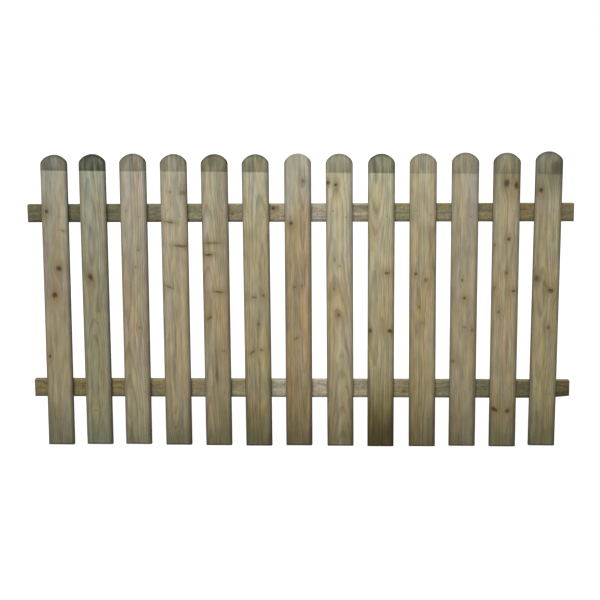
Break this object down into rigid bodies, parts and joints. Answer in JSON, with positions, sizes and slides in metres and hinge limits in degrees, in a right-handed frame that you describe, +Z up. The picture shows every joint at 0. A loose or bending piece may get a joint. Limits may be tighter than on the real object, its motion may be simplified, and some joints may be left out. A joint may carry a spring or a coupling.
{
  "type": "picket fence panel",
  "caption": "Low timber fence panel: upright round-topped pickets with open gaps, nailed across two flat rails that run past the outer pickets to meet posts.",
  "frame": {"origin": "middle of the top rail's back face, which bears on the posts", "axes": "+X along the panel to the right as seen from the pickets' side, +Y from the pickets to the back, +Z up"},
  "size_m": [1.83, 0.05, 1.006],
  "materials": {
    "picket_wood": "planed and pressure-treated softwood, weathered grey-khaki, with knots and darker round tops",
    "rail_wood": "rougher treated softwood, darker olive-brown"
  },
  "bodies": {
    "root": {"picket_01": "picket_wood", "picket_02": "picket_wood", "picket_03": "picket_wood", "picket_04": "picket_wood", "picket_05": "picket_wood", "picket_06": "picket_wood", "picket_07": "picket_wood", "picket_08": "picket_wood", "picket_09": "picket_wood", "picket_10": "picket_wood", "picket_11": "picket_wood", "picket_12": "picket_wood", "picket_13": "picket_wood", "top_rail": "rail_wood", "bottom_rail": "rail_wood"}
  },
  "joints": []
}
